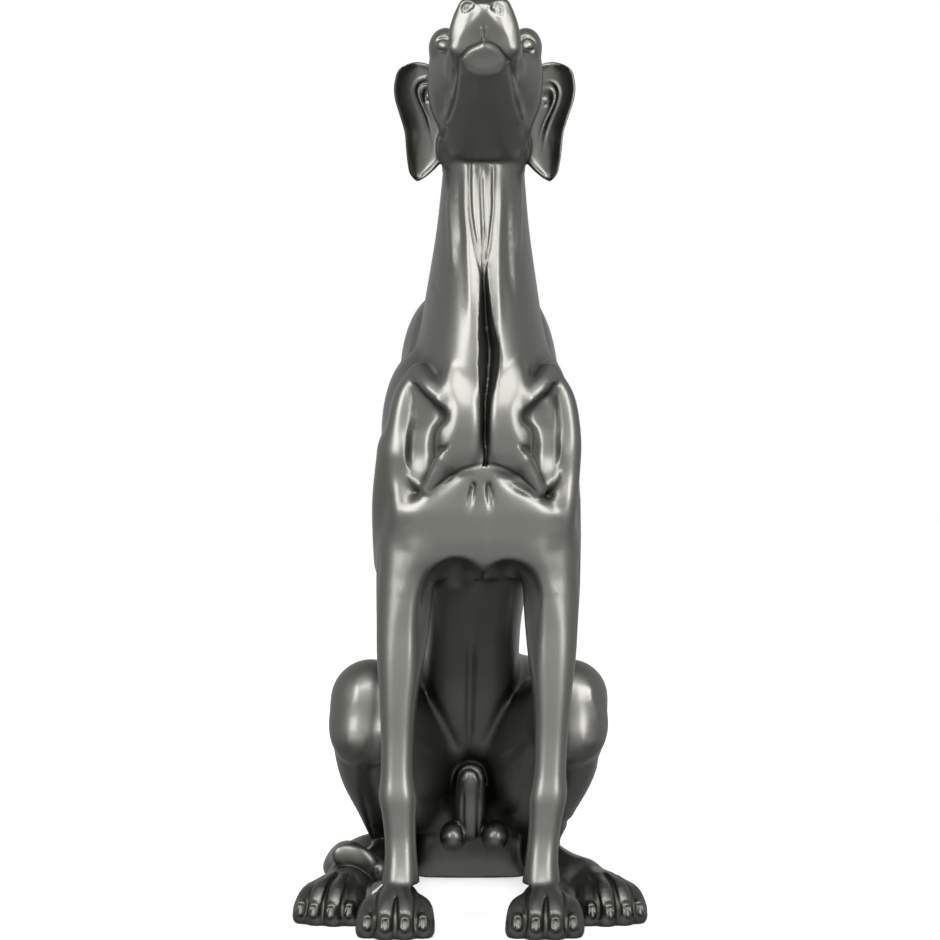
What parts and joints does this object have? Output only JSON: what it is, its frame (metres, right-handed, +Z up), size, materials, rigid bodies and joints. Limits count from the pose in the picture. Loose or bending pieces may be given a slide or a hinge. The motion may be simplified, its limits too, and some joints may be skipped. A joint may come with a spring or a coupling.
{
  "type": "greyhound statue",
  "caption": "Seated greyhound statue with its head raised and its tail wrapped round one haunch, cast in one piece with a dark metallic lacquer, standing on its paws and rump.",
  "frame": {"origin": "middle of the footprint's bounding box, on the floor", "axes": "+Z up, -Y the way the dog faces, +X to the dog's own left"},
  "size_m": [0.3172, 0.4844, 0.8053],
  "materials": {
    "gunmetal_lacquer": "dark warm grey metallic lacquer over cast resin, satin gloss"
  },
  "bodies": {
    "root": {"greyhound": "gunmetal_lacquer"}
  },
  "joints": []
}
